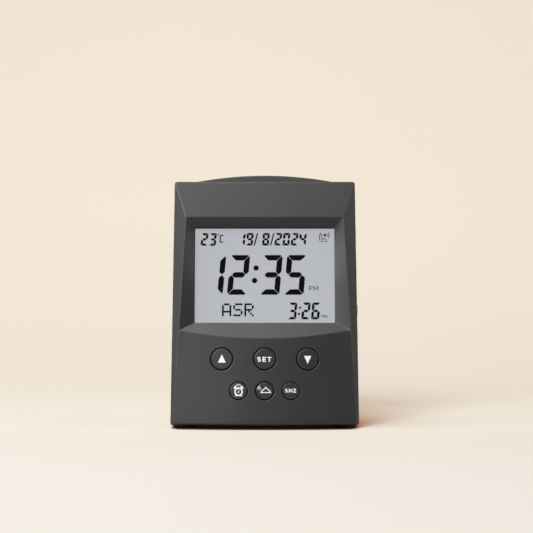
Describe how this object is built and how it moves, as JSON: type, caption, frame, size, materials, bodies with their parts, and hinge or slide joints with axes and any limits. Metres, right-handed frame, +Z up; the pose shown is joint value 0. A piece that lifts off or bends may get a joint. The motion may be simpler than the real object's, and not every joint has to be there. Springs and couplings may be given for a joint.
{
  "type": "azan clock",
  "caption": "Leaning table clock that calls the prayer times, with a recessed digital display, round keys, an arched crown, a speaker and a battery bay behind.",
  "frame": {"origin": "on the floor under the middle of the clock's outline", "axes": "+Z up, the display faces -Y, +X to the right seen from the front"},
  "size_m": [0.0951, 0.05, 0.128],
  "materials": {
    "case_plastic": "fine spark-eroded texture, slight sheen",
    "key_plastic": "fine texture, white printed legends",
    "window": "clear moulded window",
    "display_glass": "liquid crystal glass",
    "polariser": "polarising film",
    "white_plastic": "white moulded plastic",
    "silicone": "translucent grey silicone",
    "board": "green solder mask",
    "black_epoxy": "black epoxy",
    "steel": "bright zinc",
    "can": "bare can",
    "nickel": "nickel plated spring steel",
    "cell_jacket": "plain printed jacket, no marks",
    "magnet": "ferrite in a steel pot",
    "cone": "pressed paper",
    "rubber": "soft black rubber",
    "wire": "insulated wire"
  },
  "bodies": {
    "case": {"front_shell": "case_plastic", "rear_shell": "case_plastic", "key_mat": "silicone", "display_window": "window", "lcd_front_polariser": "polariser", "lcd_front_glass": "display_glass", "lcd_rear_glass": "display_glass", "lcd_rear_polariser": "polariser", "light_guide": "white_plastic", "reflector_sheet": "white_plastic", "lcd_frame": "white_plastic", "zebra_strip_lower": "rubber", "zebra_strip_upper": "rubber", "backlight_lamp": "white_plastic", "main_board": "board", "board_screws": "steel", "clock_chip": "black_epoxy", "sound_chip": "black_epoxy", "quartz_crystal": "can", "capacitors": "can", "temperature_sensor": "black_epoxy", "battery_upper": "cell_jacket", "battery_lower": "cell_jacket", "bridge_contact": "nickel", "positive_contact": "nickel", "negative_contact": "nickel", "speaker_basket": "steel", "speaker_magnet": "magnet", "speaker_cone": "cone", "speaker_screws": "steel", "volume_switch_body": "steel", "switch_board": "board", "reset_switch": "black_epoxy", "rear_board": "board", "rear_board_screws": "steel", "case_screws": "steel", "speaker_leads": "wire", "battery_leads": "wire", "switch_leads": "wire", "reset_leads": "wire", "foot_front_left": "rubber", "foot_front_right": "rubber", "foot_rear_left": "rubber", "foot_rear_right": "rubber"},
    "key_up": {"key_up": "key_plastic"},
    "key_set": {"key_set": "key_plastic"},
    "key_down": {"key_down": "key_plastic"},
    "key_alarm": {"key_alarm": "key_plastic"},
    "key_adhan": {"key_adhan": "key_plastic"},
    "key_snooze": {"key_snooze": "key_plastic"},
    "volume_switch": {"volume_switch_knob": "key_plastic"},
    "reset": {"reset_key": "key_plastic"},
    "cover": {"battery_cover": "case_plastic", "cover_latch": "case_plastic"}
  },
  "joints": [
    {"name": "key_up_press", "type": "slide", "parent": "case", "child": "key_up", "axis": [0, 0.9848, -0.1736], "range_m": [0, 0.0008], "stiffness_N_per_m": 600, "springref_m": -0.0006, "deforming": ["key_mat"]},
    {"name": "key_set_press", "type": "slide", "parent": "case", "child": "key_set", "axis": [0, 0.9848, -0.1736], "range_m": [0, 0.0008], "stiffness_N_per_m": 600, "springref_m": -0.0006, "deforming": ["key_mat"]},
    {"name": "key_down_press", "type": "slide", "parent": "case", "child": "key_down", "axis": [0, 0.9848, -0.1736], "range_m": [0, 0.0008], "stiffness_N_per_m": 600, "springref_m": -0.0006, "deforming": ["key_mat"]},
    {"name": "key_alarm_press", "type": "slide", "parent": "case", "child": "key_alarm", "axis": [0, 0.9848, -0.1736], "range_m": [0, 0.0008], "stiffness_N_per_m": 600, "springref_m": -0.0006, "deforming": ["key_mat"]},
    {"name": "key_adhan_press", "type": "slide", "parent": "case", "child": "key_adhan", "axis": [0, 0.9848, -0.1736], "range_m": [0, 0.0008], "stiffness_N_per_m": 600, "springref_m": -0.0006, "deforming": ["key_mat"]},
    {"name": "key_snooze_press", "type": "slide", "parent": "case", "child": "key_snooze", "axis": [0, 0.9848, -0.1736], "range_m": [0, 0.0008], "stiffness_N_per_m": 600, "springref_m": -0.0006, "deforming": ["key_mat"]},
    {"name": "volume_switch_slide", "type": "slide", "parent": "case", "child": "volume_switch", "axis": [0, 0, -1], "range_m": [0, 0.002]},
    {"name": "reset_press", "type": "slide", "parent": "case", "child": "reset", "axis": [0, -0.9997, -0.0225], "range_m": [0, 0.0004], "stiffness_N_per_m": 800, "springref_m": -0.0005},
    {"name": "battery_cover_tip", "type": "hinge", "parent": "case", "child": "cover", "pos_m": [0, 0.02487, 0.00955], "axis": [-1, 0, 0], "range_deg": [0, 60], "deforming": ["cover_latch"]}
  ]
}
